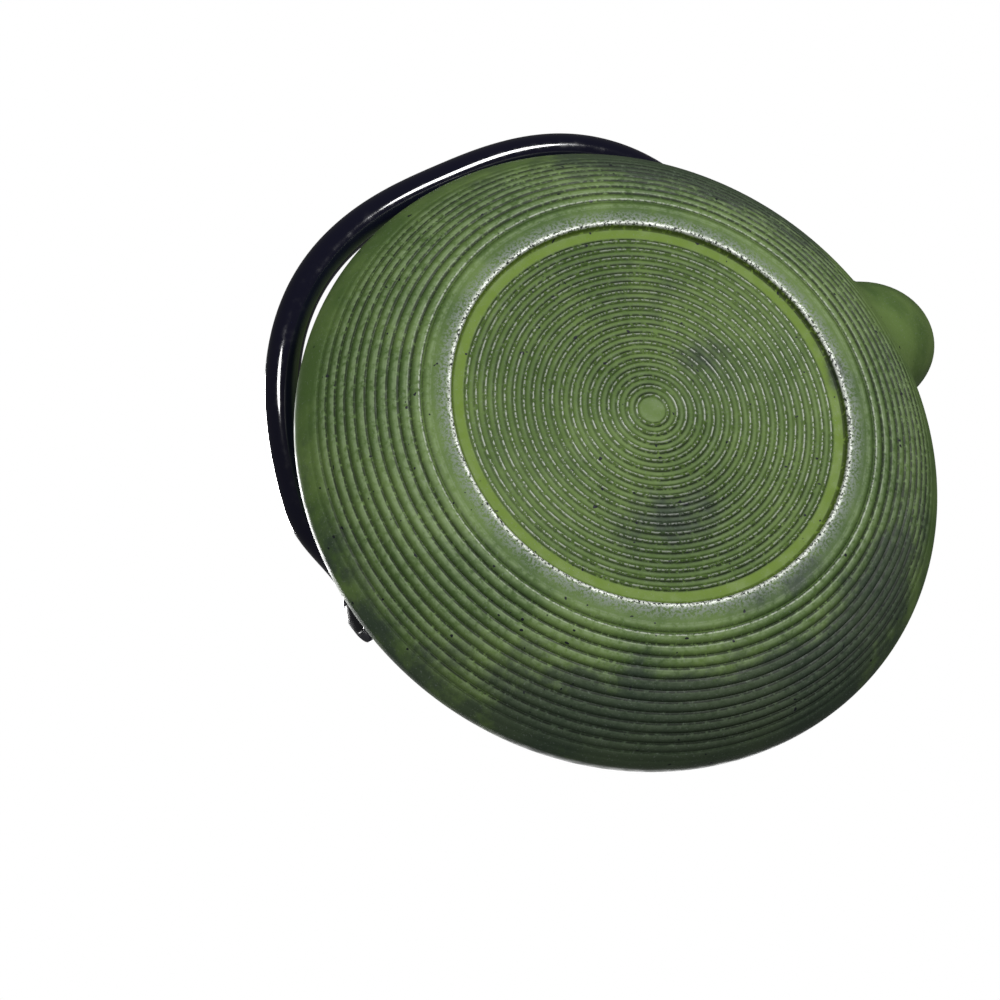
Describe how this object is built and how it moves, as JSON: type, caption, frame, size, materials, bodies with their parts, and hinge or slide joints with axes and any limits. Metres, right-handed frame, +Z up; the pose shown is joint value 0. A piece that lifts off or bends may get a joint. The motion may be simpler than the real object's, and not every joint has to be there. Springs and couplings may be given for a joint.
{
  "type": "cast iron teapot",
  "caption": "Low round cast iron teapot with a ribbed underside, short spout, lift-off lid with a flared knob, steel infuser basket and a folding bail handle.",
  "frame": {"origin": "on the table under the middle of the whole teapot's bounding box, with the handle folded down", "axes": "+Z up through the lid, +X towards the spout's tip, -Y towards the folded handle"},
  "size_m": [0.1848, 0.1676, 0.077],
  "materials": {
    "green_iron": "satin green lacquer over ribbed casting, rubbed bright on the high edges",
    "black_enamel": "glossy black enamel",
    "black_iron": "semi-gloss black",
    "bright_steel": "bright stamped steel",
    "basket_steel": "fine perforated stainless sheet"
  },
  "bodies": {
    "pot": {"pot_body": "green_iron", "front_hinge_pin": "black_iron", "rear_hinge_pin": "black_iron"},
    "handle": {"bail_handle": "black_enamel"},
    "infuser": {"infuser_rim": "basket_steel", "infuser_wall": "basket_steel", "infuser_base": "basket_steel"},
    "lid_rivet": {"knob_rivet": "black_iron", "rivet_washer": "bright_steel"},
    "lid": {"lid_plate": "green_iron", "lid_knob": "green_iron", "knob_star_washer": "bright_steel"}
  },
  "joints": [
    {"name": "handle_swing", "type": "hinge", "parent": "pot", "child": "handle", "pos_m": [-0.0125, 0.0039, 0.059], "axis": [-1, 0, 0], "range_deg": [0, 217]},
    {"name": "infuser_lift", "type": "slide", "parent": "pot", "child": "infuser", "axis": [0, 0, 1], "range_m": [0, 0.06]},
    {"name": "lid_lift", "type": "slide", "parent": "infuser", "child": "lid_rivet", "axis": [0, 0, 1], "range_m": [0, 0.06]},
    {"name": "lid_turn", "type": "hinge", "parent": "lid_rivet", "child": "lid", "pos_m": [-0.0125, 0.0039, 0.0576], "axis": [0, 0, 1], "continuous": true}
  ]
}
